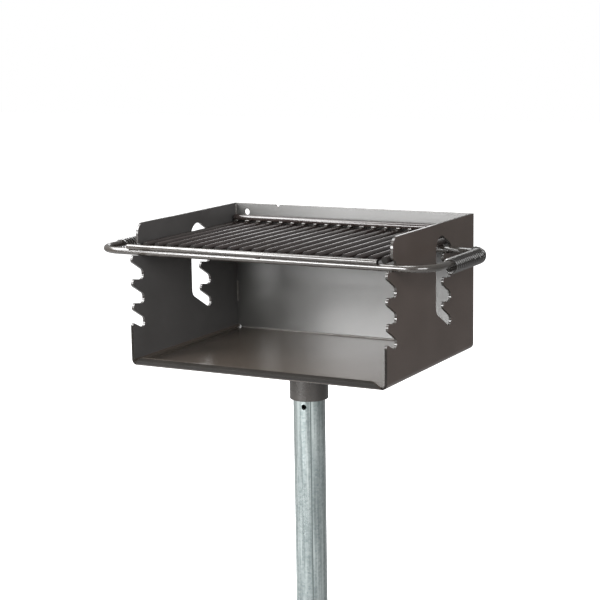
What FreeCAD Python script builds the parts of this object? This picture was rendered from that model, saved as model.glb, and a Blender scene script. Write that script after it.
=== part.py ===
# Pedestal charcoal grill for a park: a bent steel firebox on one galvanised post, with a
# cooking grate that hooks into four levels of notches. Millimetres, +Z up, +X to the right
# of someone who faces the open front, and +Y towards the back panel.
# The origin is on the post's axis, at the ground line.
import FreeCAD, Part
import math
import os
import Sketcher

Vector = FreeCAD.Vector

# Driving dimensions: alias, value, meaning.
DRIVING = [
    ("inside_width", 508.0, "firebox, between the side plates"),
    ("inside_depth", 381.0, "firebox, front edge to back panel"),
    ("inside_height", 254.0, "firebox, floor to top edge"),
    ("plate", 4.7625, "thickness of the firebox sheet"),
    ("bend_inside", 6.35, "inside radius of the sheet's bends"),
    ("top_corner", 19.05, "radius of the side plates' top front corners"),
    ("front_edge", 25.5, "upper front edge, behind the lower front edge"),
    ("lower_corner", 5.5, "radius where that edge meets the first notch"),
    ("levels", 4, "cooking levels"),
    ("level_pitch", 44.45, "height from one level to the next"),
    ("slot_angle", 28.8, "slope of every finger's underside"),
    ("seat_radius", 8.5, "radius of a notch's seat and of its inner corner"),
    ("seat_back", 31.5, "seat centre, behind the lower front edge"),
    ("seat_height", 207.65, "top seat's centre, above the firebox's underside"),
    ("tip_radius", 7.25, "radius of a finger's tip"),
    ("tip_back", 11.8, "tip centre, behind the lower front edge"),
    ("tip_height", 194.9, "top finger's tip centre"),
    ("shoulder_angle", 25.0, "slope of the lowest notch's floor"),
    ("shoulder_corner", 4.0, "radius of the shoulder under the notches"),
    ("rear_shift", 237.0, "from the front seats to the rear seats"),
    ("slot_front", 208.0, "front wall of the rear slot"),
    ("slot_top_corner", 25.4, "radius at the rear slot's top"),
    ("slot_low_corner", 17.0, "radius at the rear slot's foot"),
    ("lip_length", 498.0, "front lip, end to end"),
    ("lip_front", 8.4, "front lip's face, ahead of the side plates"),
    ("lip_height", 16.5, "front lip's top edge"),
    ("lip_corner", 22.0, "radius of the front lip's ends"),
    ("lip_reach", 5.0, "how far the cut for those ends runs behind the lip"),
    ("panel_clip", 8.0, "clipped lower corners of the back panel"),
    ("panel_hole", 12.7, "tool hole in the back panel, diameter"),
    ("panel_hole_side", 228.5, "tool hole, left of the middle"),
    ("panel_hole_height", 241.5, "tool hole, above the firebox's underside"),
    ("panel_nick", 4.5, "radius of the nick in the back panel's top edge"),
    ("panel_nick_side", 158.0, "nick, left of the middle"),
    ("seam_leg", 5.0, "leg of the firebox's fillet welds"),
    ("seam_end", 14.0, "floor weld's ends, in from the side plates"),
    ("stitch_length", 38.1, "length of a side stitch weld"),
    ("stitch_low", 60.0, "lower stitch weld, above the firebox's underside"),
    ("stitch_high", 216.0, "upper stitch weld, above the firebox's underside"),
    ("post_outside", 60.325, "post, outside diameter"),
    ("post_wall", 3.91, "post, wall thickness"),
    ("post_above", 610.0, "post, ground line to top"),
    ("post_below", 457.0, "post, set in the footing"),
    ("post_behind_middle", 12.7, "post axis, behind the firebox's middle"),
    ("pin_hole", 10.3, "lock pin hole through the post, diameter"),
    ("pin_hole_drop", 93.0, "lock pin hole, below the post's top"),
    ("pin_hole_turn", 8.0, "lock pin hole, turned from the front"),
    ("collar_outside", 73.03, "collar, outside diameter"),
    ("collar_wall", 5.16, "collar, wall thickness"),
    ("collar_length", 76.2, "collar, top to bottom"),
    ("collar_weld", 6.35, "leg of the weld round the collar"),
    ("frame_rod", 12.7, "handle loop, rod diameter"),
    ("stop_rod", 9.525, "stop rod, diameter"),
    ("cooking_rod", 12.7, "cooking rods and rear bar, diameter"),
    ("cooking_rods", 19, "number of cooking rods"),
    ("cooking_pitch", 25.4, "from one cooking rod to the next"),
    ("cooking_rear", 373.0, "rear ends, behind the lower front edge"),
    ("grate_shift", 13.0, "grate, slid to the left between its plates"),
    ("seat_clearance", 0.3, "paint and play between rod and seat"),
    ("loop_width", 676.3, "handle loop, between its legs' axes"),
    ("loop_front_bend", 50.0, "handle loop's front corners, to the rod's axis"),
    ("loop_rear_bend", 30.0, "handle loop's rear corners, to the rod's axis"),
    ("loop_joint", 2.0, "weld gap in the loop's rear leg"),
    ("loop_joint_radius", 7.2, "radius of that weld"),
    ("stop_length", 508.0, "stop rod above the handle's front"),
    ("stop_ahead", 5.8, "stop rod's axis, ahead of the handle's"),
    ("stop_shift", 11.0, "stop rod, further left than the grate"),
    ("rear_bar_back", 366.0, "rear bar's axis, behind the lower front edge"),
    ("bead_radius", 2.5, "radius of the grate's weld beads"),
    ("bead_length", 7.0, "length of a weld bead along the bar that it joins"),
    ("tack_side", 4.0, "tack between stop rod and handle, left of the middle"),
    ("tack_drop", 3.0, "tack's axis, below the line where those rods touch"),
    ("grip_outside", 28.575, "coil grip, outside diameter"),
    ("grip_wire", 3.175, "coil grip, wire diameter"),
    ("grip_turns", 19, "turns in each coil grip"),
    ("grip_length", 162.0, "coil grip, along its rod"),
    ("grip_front", 113.0, "coil grip's front end, behind the lower front edge"),
    ("grip_seat", 0.05, "paint between the grip and its rod"),
]

doc = FreeCAD.newDocument("park_grill")
sheet = doc.addObject("Spreadsheet::Sheet", "sheet")
size = {}
for row, (alias, value, meaning) in enumerate(DRIVING, start=1):
    sheet.set("A%d" % row, meaning)
    sheet.set("B%d" % row, repr(value))
    sheet.setAlias("B%d" % row, alias)
    size[alias] = float(value)
doc.recompute()

# Lengths worked out from the driving dimensions.
outside_width = size["inside_width"] + 2 * size["plate"]
outside_depth = size["inside_depth"] + size["plate"]
outside_height = size["inside_height"] + size["plate"]
bend_outside = size["bend_inside"] + size["plate"]
firebox_y = -outside_depth / 2 - size["post_behind_middle"]
firebox_z = size["post_above"]
FIREBOX_Y = "-(sheet.inside_depth + sheet.plate) / 2 - sheet.post_behind_middle"
FIREBOX_Z = "sheet.post_above"

frame_radius = size["frame_rod"] / 2
stop_radius = size["stop_rod"] / 2
cooking_radius = size["cooking_rod"] / 2
handle_z = size["seat_height"] - size["seat_radius"] + frame_radius + size["seat_clearance"]
stop_back = size["seat_back"] - size["stop_ahead"]
stop_rise = math.sqrt((frame_radius + stop_radius) ** 2 - size["stop_ahead"] ** 2)
stop_z = handle_z + stop_rise
cooking_z = handle_z + frame_radius + cooking_radius
rear_bar_z = cooking_z + size["cooking_rod"]
rear_bar_length = (size["cooking_rods"] - 1) * size["cooking_pitch"] + size["cooking_rod"]
REAR_BAR_LENGTH = "(sheet.cooking_rods - 1) * sheet.cooking_pitch + sheet.cooking_rod"
cooking_front = stop_back + stop_radius

written = []


def bind(thing, **expressions):
    for key, text in expressions.items():
        thing.setExpression(key.replace("_", "."), text)


def keep(thing, label):
    thing.Label = label
    written.append(thing)
    return thing


def in_firebox(thing):
    """Places a piece that is drawn from the firebox's lower front edge."""
    bind(thing, Placement_Base_y=FIREBOX_Y, Placement_Base_z=FIREBOX_Z)


def at_angle(centre, radius, degrees):
    turn = math.radians(degrees)
    return (centre[0] + radius * math.cos(turn), centre[1] + radius * math.sin(turn))


def line(start, end):
    return ("line", start, end)


def arc(centre, radius, start, end):
    """An arc from the start angle to the end angle, clockwise where the end is the smaller."""
    return ("arc", centre, radius, start, end)


def new_body(label):
    body = doc.addObject("PartDesign::Body", label)
    in_firebox(body)
    return keep(body, label)


def new_sketch(body, plane, outlines, name):
    """A sketch on one of the body's planes, of closed outlines joined end to end."""
    sketch = body.newObject("Sketcher::SketchObject", name)
    origin = [f for f in body.Origin.OriginFeatures if f.Role == plane][0]
    sketch.AttachmentSupport = [(origin, "")]
    sketch.MapMode = "FlatFace"
    for outline in outlines:
        ends = []
        for piece in outline:
            if piece[0] == "line":
                geometry = Part.LineSegment(Vector(*piece[1], 0), Vector(*piece[2], 0))
                points = (1, 2)
            else:
                _, centre, radius, start, end = piece
                low, high = sorted((math.radians(start), math.radians(end)))
                circle = Part.Circle(Vector(*centre, 0), Vector(0, 0, 1), radius)
                geometry = Part.ArcOfCircle(circle, low, high)
                points = (1, 2) if start < end else (2, 1)
            ends.append((sketch.addGeometry(geometry, False), points))
        for (index, points), (after, others) in zip(ends, ends[1:] + ends[:1]):
            sketch.addConstraint(
                Sketcher.Constraint("Coincident", index, points[1], after, others[0]))
    return sketch


def hold(sketch, kind, geometry, value, expression):
    """A dimension of the sketch, bound to the sheet."""
    number = sketch.addConstraint(Sketcher.Constraint(kind, *geometry, value))
    sketch.setExpression("Constraints[%d]" % number, expression)


def pad(body, sketch, length, name, both_ways=True, reverse=False):
    feature = body.newObject("PartDesign::Pad", name)
    feature.Profile = sketch
    feature.Midplane = both_ways
    feature.Reversed = reverse
    feature.setExpression("Length", length)
    return feature


def pocket(body, sketch, name, length=None, reverse=False):
    """A cut to a length, or both ways through everything."""
    feature = body.newObject("PartDesign::Pocket", name)
    feature.Profile = sketch
    if length:
        feature.setExpression("Length", length)
        feature.Reversed = reverse
    else:
        feature.Type = "ThroughAll"
        feature.Midplane = True
    return feature


def cut_volume(feature, before):
    """Stops the macro where a cut missed the sheet."""
    doc.recompute()
    after = feature.Shape.Volume
    if not after < before.Shape.Volume - 1:
        raise RuntimeError(feature.Label + " cuts nothing")
    return after


# The comb of notches, drawn in the side plates' plane: first number back, second up.
slope = math.radians(size["slot_angle"])
across_slot = (math.sin(slope), math.cos(slope))
seat = (size["seat_back"], size["seat_height"])
tip = (size["tip_back"], size["tip_height"])
seat_radius, tip_radius = size["seat_radius"], size["tip_radius"]
back_wall = size["seat_back"] + seat_radius
underside = across_slot[0] * tip[0] + across_slot[1] * tip[1] - tip_radius
roof = underside + across_slot[1] * size["level_pitch"]


def roof_height(back, inset):
    """Height at which a point lies inset from the first notch's roof."""
    return (roof - inset - across_slot[0] * back) / across_slot[1]


def shifted(points, back, up):
    moved = []
    for piece in points:
        if piece[0] == "line":
            moved.append(line(*[(p[0] + back, p[1] + up) for p in piece[1:]]))
        else:
            _, centre, radius, start, end = piece
            moved.append(arc((centre[0] + back, centre[1] + up), radius, start, end))
    return moved


inner_corner = (seat[0], roof_height(seat[0], seat_radius))
roof_angle = 90 - size["slot_angle"]
lowest_seat = (seat[0], seat[1] - (size["levels"] - 1) * size["level_pitch"])


def finger_outline():
    """The top finger: seat, upper edge, round tip, underside and the next notch's corner."""
    apart = math.dist(seat, tip)
    rise = math.degrees(math.atan2(seat[1] - tip[1], seat[0] - tip[0]))
    fall = math.degrees(math.asin((seat_radius + tip_radius) / apart)) - rise
    seat_end = -90 - fall
    next_corner = (inner_corner[0], inner_corner[1] - size["level_pitch"])
    root = back_wall + size["plate"]
    return [
        line((root, next_corner[1]), (root, seat[1])),
        line((root, seat[1]), (back_wall, seat[1])),
        arc(seat, seat_radius, 0, seat_end),
        line(at_angle(seat, seat_radius, seat_end), at_angle(tip, tip_radius, 90 - fall)),
        arc(tip, tip_radius, 90 - fall, 180 + roof_angle),
        line(at_angle(tip, tip_radius, 180 + roof_angle),
             at_angle(next_corner, seat_radius, roof_angle)),
        arc(next_corner, seat_radius, roof_angle, 0),
        line((back_wall, next_corner[1]), (root, next_corner[1])),
    ]


def corner_between(line_slope, point, edge, radius):
    """Centre of a corner right of a vertical edge that touches a sloping line from above,
    or from below where the radius is negative."""
    turn = math.radians(line_slope)
    normal = (math.sin(turn), math.cos(turn))
    reach = normal[0] * point[0] + normal[1] * point[1]
    back = edge + abs(radius)
    return (back, (reach + radius - normal[0] * back) / normal[1])


def side_outline():
    """Outer edge of a side plate with the fingers left off."""
    top = (size["front_edge"] + size["top_corner"], outside_height - size["top_corner"])
    nose = size["front_edge"] + size["lower_corner"]
    nose = (nose, roof_height(nose, -size["lower_corner"]))
    shoulder_end = -90 - size["shoulder_angle"]
    floor_start = at_angle(lowest_seat, seat_radius, shoulder_end)
    corner = size["shoulder_corner"]
    shoulder = corner_between(size["shoulder_angle"], floor_start, 0, -corner)
    shoulder_angle = 90 - size["shoulder_angle"]
    nose_angle = 270 - size["slot_angle"]
    return [
        line((0, 0), (outside_depth, 0)),
        line((outside_depth, 0), (outside_depth, outside_height)),
        line((outside_depth, outside_height), (top[0], outside_height)),
        arc(top, size["top_corner"], 90, 180),
        line((size["front_edge"], top[1]), (size["front_edge"], nose[1])),
        arc(nose, size["lower_corner"], 180, nose_angle),
        line(at_angle(nose, size["lower_corner"], nose_angle),
             at_angle(inner_corner, seat_radius, roof_angle)),
        arc(inner_corner, seat_radius, roof_angle, 0),
        line((back_wall, inner_corner[1]), (back_wall, lowest_seat[1])),
        arc(lowest_seat, seat_radius, 0, shoulder_end),
        line(floor_start, at_angle(shoulder, corner, shoulder_angle)),
        arc(shoulder, corner, shoulder_angle, 180),
        line((0, shoulder[1]), (0, 0)),
    ]


def slot_outline():
    """The rear slot that lets the grate's rear leg climb from one level to the next."""
    shift = size["rear_shift"]
    radius = size["slot_top_corner"]
    top = size["slot_front"] + radius
    top = (top, roof_height(top - shift, radius))
    floor_end = 270 - size["slot_angle"]
    low_seat = (lowest_seat[0] + shift, lowest_seat[1])
    floor_start = at_angle(low_seat, seat_radius, floor_end)
    foot = corner_between(size["slot_angle"], floor_start, size["slot_front"],
                          size["slot_low_corner"])
    corner = (inner_corner[0] + shift, inner_corner[1])
    back = back_wall + shift
    return [
        arc(top, radius, 180, roof_angle),
        line(at_angle(top, radius, roof_angle), at_angle(corner, seat_radius, roof_angle)),
        arc(corner, seat_radius, roof_angle, 0),
        line((back, corner[1]), (back, low_seat[1])),
        arc(low_seat, seat_radius, 360, floor_end),
        line(floor_start, at_angle(foot, size["slot_low_corner"], floor_end)),
        arc(foot, size["slot_low_corner"], floor_end, 180),
        line((size["slot_front"], foot[1]), (size["slot_front"], top[1])),
    ]


def fingers(body, shift, name):
    """One finger padded across the firebox, then repeated down the notches."""
    outline = shifted(finger_outline(), shift, 0)
    sketch = new_sketch(body, "YZ_Plane", [outline], name + "_outline")
    hold(sketch, "Radius", (2,), seat_radius, "sheet.seat_radius")
    hold(sketch, "Radius", (4,), tip_radius, "sheet.tip_radius")
    finger = pad(body, sketch, "sheet.inside_width + 2 * sheet.plate", name)
    doc.recompute()
    column = body.newObject("PartDesign::LinearPattern", name + "_column")
    column.Originals = [finger]
    column.Direction = (sketch, ["V_Axis"])
    column.Reversed = True
    column.setExpression("Length", "(sheet.levels - 2) * sheet.level_pitch")
    column.setExpression("Occurrences", "sheet.levels - 1")
    body.Tip = column
    doc.recompute()
    return column


def make_firebox_shell():
    """Side plates, floor and front lip, cut and bent from one sheet."""
    body = new_body("firebox_shell")
    side = new_sketch(body, "YZ_Plane", [side_outline(), slot_outline()], "side_outline")
    hold(side, "Radius", (3,), size["top_corner"], "sheet.top_corner")
    hold(side, "Radius", (13,), size["slot_top_corner"], "sheet.slot_top_corner")
    pad(body, side, "sheet.inside_width + 2 * sheet.plate", "side_plates")
    doc.recompute()
    fingers(body, 0, "front_finger")
    combed = fingers(body, size["rear_shift"], "rear_finger")

    # The inside of the bent sheet, with its rounded bends, is cleared from front to back.
    half, low, bend = size["inside_width"] / 2, size["plate"], size["bend_inside"]
    high = outside_height + size["plate"]
    inside = new_sketch(body, "XZ_Plane", [[
        arc((half - bend, low + bend), bend, 270, 360),
        line((half, low + bend), (half, high)),
        line((half, high), (-half, high)),
        line((-half, high), (-half, low + bend)),
        arc((-half + bend, low + bend), bend, 180, 270),
        line((-half + bend, low), (half - bend, low)),
    ]], "inside")
    hold(inside, "Radius", (0,), bend, "sheet.bend_inside")
    hold(inside, "Radius", (4,), bend, "sheet.bend_inside")
    cleared = pocket(body, inside, "firebox_inside")
    cut_volume(cleared, combed)

    edges = []
    for number, edge in enumerate(cleared.Shape.Edges, start=1):
        box = edge.BoundBox
        at_foot = box.ZMax < 0.01 and abs(box.YLength - outside_depth) < 0.01
        if at_foot and abs(abs(box.XMin) - outside_width / 2) < 0.01:
            edges.append("Edge%d" % number)
    bends = body.newObject("PartDesign::Fillet", "outer_bends")
    bends.Base = (cleared, edges)
    bends.setExpression("Radius", "sheet.bend_inside + sheet.plate")
    cut_volume(bends, cleared)

    # The front lip: the floor's front edge turned up, with its ends rounded off.
    lip = size["lip_length"] / 2
    start = bend_outside - size["lip_front"]
    mouth = new_sketch(body, "XY_Plane", [[
        line((-lip, -start), (lip, -start)),
        line((lip, -start), (lip, start)),
        line((lip, start), (-lip, start)),
        line((-lip, start), (-lip, -start)),
    ]], "lip_mouth")
    opened = pocket(body, mouth, "floor_mouth")
    cut_volume(opened, bends)
    centre = (start, bend_outside)
    face, top, root = -size["lip_front"], size["lip_height"], start + size["plate"]
    profile = new_sketch(body, "YZ_Plane", [[
        line((root, 0), (start, 0)),
        arc(centre, bend_outside, 270, 180),
        line((face, bend_outside), (face, top)),
        line((face, top), (face + size["plate"], top)),
        line((face + size["plate"], top), (face + size["plate"], bend_outside)),
        arc(centre, bend, 180, 270),
        line((start, size["plate"]), (root, size["plate"])),
        line((root, size["plate"]), (root, 0)),
    ]], "lip_profile")
    hold(profile, "Radius", (1,), bend_outside, "sheet.bend_inside + sheet.plate")
    hold(profile, "Radius", (5,), bend, "sheet.bend_inside")
    turned = pad(body, profile, "sheet.lip_length", "front_lip")
    doc.recompute()
    radius = size["lip_corner"]
    before = turned
    for side_name, sign in (("left", -1), ("right", 1)):
        centre = (sign * (lip - radius), top - radius)
        begin, finish = (90, 0) if sign > 0 else (90, 180)
        corner = new_sketch(body, "XZ_Plane", [[
            arc(centre, radius, begin, finish),
            line((sign * lip, centre[1]), (sign * (lip + radius), centre[1])),
            line((sign * (lip + radius), centre[1]), (sign * (lip + radius), top + radius)),
            line((sign * (lip + radius), top + radius), (centre[0], top + radius)),
            line((centre[0], top + radius), (centre[0], top)),
        ]], "lip_%s_end" % side_name)
        hold(corner, "Radius", (0,), radius, "sheet.lip_corner")
        rounded = pocket(body, corner, "lip_%s_corner" % side_name, "sheet.lip_front + sheet.lip_reach", True)
        cut_volume(rounded, before)
        before = rounded


def make_back_panel():
    """A plain plate between the side plates, with clipped corners and a tool hole."""
    body = new_body("back_panel")
    half, low, top = size["inside_width"] / 2, size["plate"], outside_height
    clip = size["panel_clip"]
    nick = (-size["panel_nick_side"], top)
    hole = (-size["panel_hole_side"], size["panel_hole_height"])
    outline = [
        line((-half + clip, low), (half - clip, low)),
        line((half - clip, low), (half, low + clip)),
        line((half, low + clip), (half, top)),
        line((half, top), (nick[0] + size["panel_nick"], top)),
        arc(nick, size["panel_nick"], 360, 180),
        line((nick[0] - size["panel_nick"], top), (-half, top)),
        line((-half, top), (-half, low + clip)),
        line((-half, low + clip), (-half + clip, low)),
    ]
    sketch = new_sketch(body, "XZ_Plane", [outline], "panel_outline")
    hold(sketch, "Radius", (4,), size["panel_nick"], "sheet.panel_nick")
    plate = pad(body, sketch, "sheet.plate", "panel", both_ways=False, reverse=True)
    sketch.AttachmentOffset = FreeCAD.Placement(
        Vector(0, 0, -size["inside_depth"]), FreeCAD.Rotation())
    doc.recompute()
    drilled = new_sketch(body, "XZ_Plane", [[
        arc(hole, size["panel_hole"] / 2, 0, 180),
        arc(hole, size["panel_hole"] / 2, 180, 360),
    ]], "tool_hole_outline")
    cut_volume(pocket(body, drilled, "tool_hole"), plate)


def cylinder(label, radius, height, base, direction=None):
    """A cylinder whose radius and height are bound to the sheet, placed from the firebox."""
    thing = doc.addObject("Part::Cylinder", label)
    thing.setExpression("Radius", radius)
    thing.setExpression("Height", height)
    rotation = FreeCAD.Rotation(Vector(0, 0, 1), direction or Vector(0, 0, 1))
    thing.Placement = FreeCAD.Placement(Vector(*base), rotation)
    return thing


def cut(label, base, tool):
    thing = doc.addObject("Part::Cut", label)
    thing.Base = base
    thing.Tool = tool
    return thing


def make_post():
    """A galvanised pipe, drilled through for a lock pin under the collar."""
    height = "sheet.post_above + sheet.post_below"
    start = (0, 0, -size["post_below"])
    outer = cylinder("post_outside", "sheet.post_outside / 2", height, start)
    inner = cylinder("post_bore", "sheet.post_outside / 2 - sheet.post_wall", height, start)
    turn = math.radians(size["pin_hole_turn"])
    through = Vector(math.sin(turn), -math.cos(turn), 0)
    length = size["post_outside"]
    begin = Vector(0, 0, size["post_above"] - size["pin_hole_drop"]) - through * length
    drill = cylinder("pin_hole_tool", "sheet.pin_hole / 2", "2 * sheet.post_outside",
                     begin, through)
    keep(cut("post", cut("post_pipe", outer, inner), drill), "post")


def make_collar():
    """A short pipe under the floor that turns on the post, and the weld that holds it."""
    z = firebox_z - size["collar_length"]
    outer = cylinder("collar_outer", "sheet.collar_outside / 2", "sheet.collar_length", (0, 0, z))
    bore = cylinder("collar_bore", "sheet.collar_outside / 2 - sheet.collar_wall",
                    "sheet.collar_length", (0, 0, z))
    keep(cut("collar", outer, bore), "collar")
    weld_z = firebox_z - size["collar_weld"]
    cone = doc.addObject("Part::Cone", "collar_weld_cone")
    cone.setExpression("Radius1", "sheet.collar_outside / 2")
    cone.setExpression("Radius2", "sheet.collar_outside / 2 + sheet.collar_weld")
    cone.setExpression("Height", "sheet.collar_weld")
    cone.Placement.Base = Vector(0, 0, weld_z)
    core = cylinder("collar_weld_core", "sheet.collar_outside / 2", "sheet.collar_weld",
                    (0, 0, weld_z))
    keep(cut("collar_weld", cone, core), "collar_weld")


def make_seam_welds():
    """Fillet welds inside the back corners: one along the floor, two stitches up each side."""
    leg = size["seam_leg"]
    back = size["inside_depth"]
    half = size["inside_width"] / 2
    beads = []

    def bead(corner, first, second, run):
        triangle = Part.makePolygon([corner, corner + first, corner + second, corner])
        beads.append(Part.Face(triangle).extrude(run))

    reach = half - size["seam_end"]
    bead(Vector(-reach, back, size["plate"]), Vector(0, -leg, 0), Vector(0, 0, leg),
         Vector(2 * reach, 0, 0))
    for sign in (-1, 1):
        for start in (size["stitch_low"], size["stitch_high"]):
            bead(Vector(sign * half, back, start), Vector(-sign * leg, 0, 0),
                 Vector(0, -leg, 0), Vector(0, 0, size["stitch_length"]))
    welds = doc.addObject("Part::Feature", "back_seam_welds")
    welds.Shape = Part.makeCompound(beads)
    in_firebox(welds)
    keep(welds, "back_seam_welds")


def loop_legs():
    """The handle loop's left and right leg axes."""
    half = size["loop_width"] / 2
    return -half - size["grate_shift"], half - size["grate_shift"]


def make_handle_loop():
    """One rod bent round the whole grate, its ends meeting in the rear leg."""
    left, right = loop_legs()
    front, rear = size["seat_back"], size["seat_back"] + size["rear_shift"]
    wide, tight = size["loop_front_bend"], size["loop_rear_bend"]
    joint = size["cooking_pitch"] / 2 - size["grate_shift"]
    gap = size["loop_joint"] / 2
    body = new_body("handle_loop")
    path = new_sketch(body, "XY_Plane", [], "loop_path")
    path.AttachmentOffset = FreeCAD.Placement(Vector(0, 0, handle_z), FreeCAD.Rotation())
    pieces = [
        line((joint + gap, rear), (right - tight, rear)),
        arc((right - tight, rear - tight), tight, 90, 0),
        line((right, rear - tight), (right, front + wide)),
        arc((right - wide, front + wide), wide, 0, -90),
        line((right - wide, front), (left + wide, front)),
        arc((left + wide, front + wide), wide, 270, 180),
        line((left, front + wide), (left, rear - tight)),
        arc((left + tight, rear - tight), tight, 180, 90),
        line((left + tight, rear), (joint - gap, rear)),
    ]
    for piece in pieces:
        if piece[0] == "line":
            path.addGeometry(Part.LineSegment(Vector(*piece[1], 0), Vector(*piece[2], 0)), False)
        else:
            _, centre, radius, start, end = piece
            low, high = sorted((math.radians(start), math.radians(end)))
            circle = Part.Circle(Vector(*centre, 0), Vector(0, 0, 1), radius)
            path.addGeometry(Part.ArcOfCircle(circle, low, high), False)
    ring = new_sketch(body, "YZ_Plane", [], "rod_section")
    ring.addGeometry(Part.Circle(Vector(rear, handle_z, 0), Vector(0, 0, 1), frame_radius), False)
    hold(ring, "Radius", (0,), frame_radius, "sheet.frame_rod / 2")
    ring.AttachmentOffset = FreeCAD.Placement(Vector(0, 0, joint + gap), FreeCAD.Rotation())
    doc.recompute()
    pipe = body.newObject("PartDesign::AdditivePipe", "rod")
    pipe.Profile = ring
    pipe.Spine = (path, [])
    pipe.Mode = "Standard"
    doc.recompute()
    weld = cylinder("loop_weld", "sheet.loop_joint_radius", "sheet.loop_joint",
                    (joint - gap, firebox_y + rear, firebox_z + handle_z), Vector(1, 0, 0))
    keep(weld, "loop_weld")


def rod(label, diameter, length, start, direction):
    """A straight rod from a point that is given from the firebox's lower front edge."""
    base = (start[0], firebox_y + start[1], firebox_z + start[2])
    return keep(cylinder(label, diameter + " / 2", length, base, direction), label)


def make_grate_rods():
    """Stop rod in front, cooking rods butted against its back, and a bar across their rear."""
    shift = -size["grate_shift"]
    stop_start = shift - size["stop_shift"] - size["stop_length"] / 2
    rod("stop_rod", "sheet.stop_rod", "sheet.stop_length",
        (stop_start, stop_back, stop_z), Vector(1, 0, 0))
    count = int(size["cooking_rods"])
    for number in range(count):
        side = shift + (number - (count - 1) / 2) * size["cooking_pitch"]
        piece = rod("cooking_rod_%02d" % (number + 1), "sheet.cooking_rod",
                    "sheet.cooking_rear - sheet.seat_back + sheet.stop_ahead - sheet.stop_rod / 2",
                    (side, cooking_front, cooking_z), Vector(0, 1, 0))
        bind(piece, Placement_Base_x="(%d - (sheet.cooking_rods - 1) / 2)"
             " * sheet.cooking_pitch - sheet.grate_shift" % number)
    rod("rear_bar", "sheet.cooking_rod", REAR_BAR_LENGTH,
        (shift - rear_bar_length / 2, size["rear_bar_back"], rear_bar_z), Vector(1, 0, 0))


def bead(side, back, height, rods):
    """A short bead along X, cut back to the rods that it joins."""
    start = Vector(side - size["bead_length"] / 2, back, height)
    bar = Part.makeCylinder(size["bead_radius"], size["bead_length"], start, Vector(1, 0, 0))
    return bar.cut(rods)


def make_grate_welds():
    """Beads where the cooking rods meet the stop rod, the rear bar and the loop's rear leg."""
    reach = Vector(size["loop_width"], 0, 0)
    rear = size["seat_back"] + size["rear_shift"]

    def bar_at(back, height, radius):
        start = Vector(-size["loop_width"] / 2, back, height)
        return Part.makeCylinder(radius, reach.Length, start, reach)

    stop = bar_at(stop_back, stop_z, stop_radius)
    handle = bar_at(size["seat_back"], handle_z, frame_radius)
    leg = bar_at(rear, handle_z, frame_radius)
    bar = bar_at(size["rear_bar_back"], rear_bar_z, cooking_radius)
    groove = size["bead_radius"] / math.sqrt(2)
    count = int(size["cooking_rods"])
    groups = {"stop_rod_welds": [], "rear_bar_welds": [], "rear_leg_welds": []}
    for number in range(count):
        side = (number - (count - 1) / 2) * size["cooking_pitch"] - size["grate_shift"]
        rod = Part.makeCylinder(cooking_radius, size["cooking_rear"] - cooking_front,
                                Vector(side, cooking_front, cooking_z), Vector(0, 1, 0))
        front = bead(side, cooking_front - groove / 2, stop_z + stop_radius - groove / 2, [stop, rod])
        groups["stop_rod_welds"].append(front)
        for way in (-1, 1):
            groups["rear_bar_welds"].append(
                bead(side, size["rear_bar_back"] + way * (cooking_radius - groove),
                     cooking_z + cooking_radius + groove, [bar, rod]))
            groups["rear_leg_welds"].append(
                bead(side, rear + way * (frame_radius - groove / 2),
                     cooking_z - cooking_radius - groove, [leg, rod]))
    apart = frame_radius + stop_radius
    ahead, up = size["stop_ahead"] / apart, stop_rise / apart
    tack_back = size["seat_back"] - ahead * frame_radius - up * size["tack_drop"]
    tack_height = handle_z + up * frame_radius - ahead * size["tack_drop"]
    groups["stop_rod_welds"].append(
        bead(-size["tack_side"], tack_back, tack_height, [stop, handle]))
    for label, beads in groups.items():
        welds = doc.addObject("Part::Feature", label)
        welds.Shape = Part.makeCompound(beads)
        in_firebox(welds)
        keep(welds, label)


def grip_point(turn, leg, inward):
    """A point of a coil grip's wire and its direction, at a turn in radians."""
    radius = (size["grip_outside"] - size["grip_wire"]) / 2
    hang = size["grip_outside"] / 2 - size["grip_wire"] - frame_radius - size["grip_seat"]
    bend = size["loop_rear_bend"]
    straight = size["seat_back"] + size["rear_shift"] - bend
    per_radian = size["grip_length"] / size["grip_turns"] / (2 * math.pi)
    along = size["grip_front"] + per_radian * turn
    if along < straight:
        centre, ahead, out, curve = Vector(leg, along, 0), Vector(0, 1, 0), Vector(1, 0, 0), 0
        out = out * -inward
    else:
        swing = (along - straight) / bend
        out = Vector(-inward * math.cos(swing), math.sin(swing), 0)
        ahead = Vector(inward * math.sin(swing), math.cos(swing), 0)
        centre = Vector(leg + inward * bend, straight, 0) + out * bend
        curve = 1 / bend
    up = Vector(0, 0, 1)
    point = centre + out * (radius * math.cos(turn)) + up * (radius * math.sin(turn))
    speed = (ahead * (per_radian * (1 + radius * math.cos(turn) * curve))
             + out * (-radius * math.sin(turn)) + up * (radius * math.cos(turn)))
    return point + Vector(0, 0, handle_z - hang), speed.normalize()


def joined_arcs(start, start_way, end, end_way):
    """Two arcs that leave one point and reach the next along the given directions."""
    chord = end - start
    both = start_way + end_way
    spread = 2 * (1 - start_way.dot(end_way))
    lean = chord.dot(both)
    reach = (math.sqrt(lean * lean + spread * chord.dot(chord)) - lean) / spread
    first, second = start + start_way * reach, end - end_way * reach
    middle = (first + second) * 0.5
    edges = []
    for near, corner, far in ((start, first, middle), (middle, second, end)):
        turn = (corner - near).normalize().dot((far - corner).normalize())
        weight = math.sqrt((1 + turn) / 2)
        bulge = (near + corner * (2 * weight) + far) * (1 / (2 * (1 + weight)))
        edges.append(Part.Arc(near, bulge, far).toShape())
    return edges


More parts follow.
